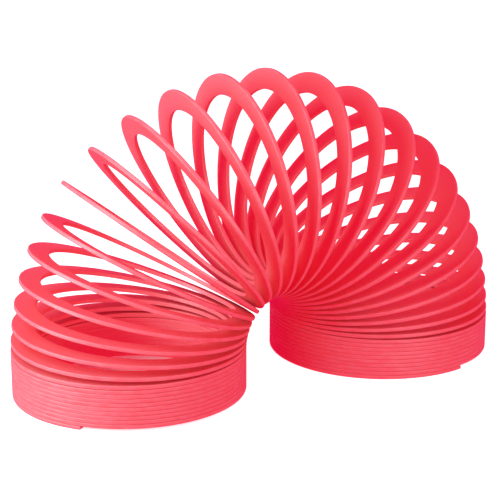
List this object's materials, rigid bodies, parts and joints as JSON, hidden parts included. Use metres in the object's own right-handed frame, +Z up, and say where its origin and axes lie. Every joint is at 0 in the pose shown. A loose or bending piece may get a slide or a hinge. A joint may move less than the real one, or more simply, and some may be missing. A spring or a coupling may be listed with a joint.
{
  "type": "spring coil toy",
  "caption": "Spring coil toy of one flat plastic band, standing as an arch on its two closed ends; each turn tilts on the next.",
  "frame": {"origin": "on the ground under the middle of the toy's length and width", "axes": "+Z up, +X from the near foot to the far foot along the arch, +Y across the coil"},
  "size_m": [0.1697, 0.075, 0.0996],
  "materials": {
    "band_plastic": "smooth semi-gloss moulded plastic, translucent at thin edges"
  },
  "bodies": {
    "near_foot": {"near_foot_turn_01": "band_plastic", "near_foot_turn_02": "band_plastic", "near_foot_turn_03": "band_plastic", "near_foot_turn_04": "band_plastic", "near_foot_turn_05": "band_plastic", "near_foot_turn_06": "band_plastic", "near_foot_turn_07": "band_plastic", "near_foot_turn_08": "band_plastic", "near_foot_turn_09": "band_plastic", "near_foot_turn_10": "band_plastic"},
    "arch_turn_01": {"arch_turn_01": "band_plastic"},
    "arch_turn_02": {"arch_turn_02": "band_plastic"},
    "arch_turn_03": {"arch_turn_03": "band_plastic"},
    "arch_turn_04": {"arch_turn_04": "band_plastic"},
    "arch_turn_05": {"arch_turn_05": "band_plastic"},
    "arch_turn_06": {"arch_turn_06": "band_plastic"},
    "arch_turn_07": {"arch_turn_07": "band_plastic"},
    "arch_turn_08": {"arch_turn_08": "band_plastic"},
    "arch_turn_09": {"arch_turn_09": "band_plastic"},
    "arch_turn_10": {"arch_turn_10": "band_plastic"},
    "arch_turn_11": {"arch_turn_11": "band_plastic"},
    "arch_turn_12": {"arch_turn_12": "band_plastic"},
    "arch_turn_13": {"arch_turn_13": "band_plastic"},
    "arch_turn_14": {"arch_turn_14": "band_plastic"},
    "arch_turn_15": {"arch_turn_15": "band_plastic"},
    "arch_turn_16": {"arch_turn_16": "band_plastic"},
    "arch_turn_17": {"arch_turn_17": "band_plastic"},
    "arch_turn_18": {"arch_turn_18": "band_plastic"},
    "arch_turn_19": {"arch_turn_19": "band_plastic"},
    "arch_turn_20": {"arch_turn_20": "band_plastic"},
    "arch_turn_21": {"arch_turn_21": "band_plastic"},
    "arch_turn_22": {"arch_turn_22": "band_plastic"},
    "arch_turn_23": {"arch_turn_23": "band_plastic"},
    "far_foot": {"far_foot_turn_01": "band_plastic", "far_foot_turn_02": "band_plastic", "far_foot_turn_03": "band_plastic", "far_foot_turn_04": "band_plastic", "far_foot_turn_05": "band_plastic", "far_foot_turn_06": "band_plastic", "far_foot_turn_07": "band_plastic", "far_foot_turn_08": "band_plastic", "far_foot_turn_09": "band_plastic"}
  },
  "joints": [
    {"name": "bend_01", "type": "hinge", "parent": "near_foot", "child": "arch_turn_01", "pos_m": [-0.01041, 0, 0.01487], "axis": [0, -1, 0], "range_deg": [-1.5, 1.1], "stiffness_Nm_per_rad": 0.4},
    {"name": "bend_02", "type": "hinge", "parent": "arch_turn_01", "child": "arch_turn_02", "pos_m": [-0.01024, 0, 0.01625], "axis": [0, -1, 0], "range_deg": [-1.5, 2.59], "stiffness_Nm_per_rad": 0.4},
    {"name": "bend_03", "type": "hinge", "parent": "arch_turn_02", "child": "arch_turn_03", "pos_m": [-0.00992, 0, 0.01763], "axis": [0, -1, 0], "range_deg": [-1.5, 3.91], "stiffness_Nm_per_rad": 0.4},
    {"name": "bend_04", "type": "hinge", "parent": "arch_turn_03", "child": "arch_turn_04", "pos_m": [-0.00942, 0, 0.01899], "axis": [0, -1, 0], "range_deg": [-1.5, 5.14], "stiffness_Nm_per_rad": 0.4},
    {"name": "bend_05", "type": "hinge", "parent": "arch_turn_04", "child": "arch_turn_05", "pos_m": [-0.00874, 0, 0.0203], "axis": [0, -1, 0], "range_deg": [-1.5, 6.33], "stiffness_Nm_per_rad": 0.4},
    {"name": "bend_06", "type": "hinge", "parent": "arch_turn_05", "child": "arch_turn_06", "pos_m": [-0.00789, 0, 0.02152], "axis": [0, -1, 0], "range_deg": [-1.5, 7.48], "stiffness_Nm_per_rad": 0.4},
    {"name": "bend_07", "type": "hinge", "parent": "arch_turn_06", "child": "arch_turn_07", "pos_m": [-0.00685, 0, 0.02263], "axis": [0, -1, 0], "range_deg": [-1.5, 8.6], "stiffness_Nm_per_rad": 0.4},
    {"name": "bend_08", "type": "hinge", "parent": "arch_turn_07", "child": "arch_turn_08", "pos_m": [-0.00566, 0, 0.02359], "axis": [0, -1, 0], "range_deg": [-1.5, 9.69], "stiffness_Nm_per_rad": 0.4},
    {"name": "bend_09", "type": "hinge", "parent": "arch_turn_08", "child": "arch_turn_09", "pos_m": [-0.00432, 0, 0.02436], "axis": [0, -1, 0], "range_deg": [-1.5, 10.75], "stiffness_Nm_per_rad": 0.4},
    {"name": "bend_10", "type": "hinge", "parent": "arch_turn_09", "child": "arch_turn_10", "pos_m": [-0.00288, 0, 0.02491], "axis": [0, -1, 0], "range_deg": [-1.5, 11.67], "stiffness_Nm_per_rad": 0.4},
    {"name": "bend_11", "type": "hinge", "parent": "arch_turn_10", "child": "arch_turn_11", "pos_m": [-0.00137, 0, 0.02522], "axis": [0, -1, 0], "range_deg": [-1.5, 11.7], "stiffness_Nm_per_rad": 0.4},
    {"name": "bend_12", "type": "hinge", "parent": "arch_turn_11", "child": "arch_turn_12", "pos_m": [0.00016, 0, 0.02528], "axis": [0, -1, 0], "range_deg": [-1.5, 11.7], "stiffness_Nm_per_rad": 0.4},
    {"name": "bend_13", "type": "hinge", "parent": "arch_turn_12", "child": "arch_turn_13", "pos_m": [0.00168, 0, 0.02511], "axis": [0, -1, 0], "range_deg": [-1.5, 11.7], "stiffness_Nm_per_rad": 0.4},
    {"name": "bend_14", "type": "hinge", "parent": "arch_turn_13", "child": "arch_turn_14", "pos_m": [0.00315, 0, 0.02471], "axis": [0, -1, 0], "range_deg": [-1.5, 11.63], "stiffness_Nm_per_rad": 0.4},
    {"name": "bend_15", "type": "hinge", "parent": "arch_turn_14", "child": "arch_turn_15", "pos_m": [0.00453, 0, 0.02408], "axis": [0, -1, 0], "range_deg": [-1.5, 10.8], "stiffness_Nm_per_rad": 0.4},
    {"name": "bend_16", "type": "hinge", "parent": "arch_turn_15", "child": "arch_turn_16", "pos_m": [0.0058, 0, 0.02325], "axis": [0, -1, 0], "range_deg": [-1.5, 9.76], "stiffness_Nm_per_rad": 0.4},
    {"name": "bend_17", "type": "hinge", "parent": "arch_turn_16", "child": "arch_turn_17", "pos_m": [0.00692, 0, 0.02225], "axis": [0, -1, 0], "range_deg": [-1.5, 8.69], "stiffness_Nm_per_rad": 0.4},
    {"name": "bend_18", "type": "hinge", "parent": "arch_turn_17", "child": "arch_turn_18", "pos_m": [0.00789, 0, 0.02112], "axis": [0, -1, 0], "range_deg": [-1.5, 7.61], "stiffness_Nm_per_rad": 0.4},
    {"name": "bend_19", "type": "hinge", "parent": "arch_turn_18", "child": "arch_turn_19", "pos_m": [0.00869, 0, 0.01988], "axis": [0, -1, 0], "range_deg": [-1.5, 6.49], "stiffness_Nm_per_rad": 0.4},
    {"name": "bend_20", "type": "hinge", "parent": "arch_turn_19", "child": "arch_turn_20", "pos_m": [0.00933, 0, 0.01857], "axis": [0, -1, 0], "range_deg": [-1.5, 5.34], "stiffness_Nm_per_rad": 0.4},
    {"name": "bend_21", "type": "hinge", "parent": "arch_turn_20", "child": "arch_turn_21", "pos_m": [0.00981, 0, 0.01721], "axis": [0, -1, 0], "range_deg": [-1.5, 4.15], "stiffness_Nm_per_rad": 0.4},
    {"name": "bend_22", "type": "hinge", "parent": "arch_turn_21", "child": "arch_turn_22", "pos_m": [0.01013, 0, 0.01582], "axis": [0, -1, 0], "range_deg": [-1.5, 2.89], "stiffness_Nm_per_rad": 0.4},
    {"name": "bend_23", "type": "hinge", "parent": "arch_turn_22", "child": "arch_turn_23", "pos_m": [0.01032, 0, 0.01444], "axis": [0, -1, 0], "range_deg": [-1.5, 1.51], "stiffness_Nm_per_rad": 0.4},
    {"name": "bend_24", "type": "hinge", "parent": "arch_turn_23", "child": "far_foot", "pos_m": [0.01039, 0, 0.01306], "axis": [0, -1, 0], "range_deg": [-1.5, 0.14], "stiffness_Nm_per_rad": 0.4}
  ]
}
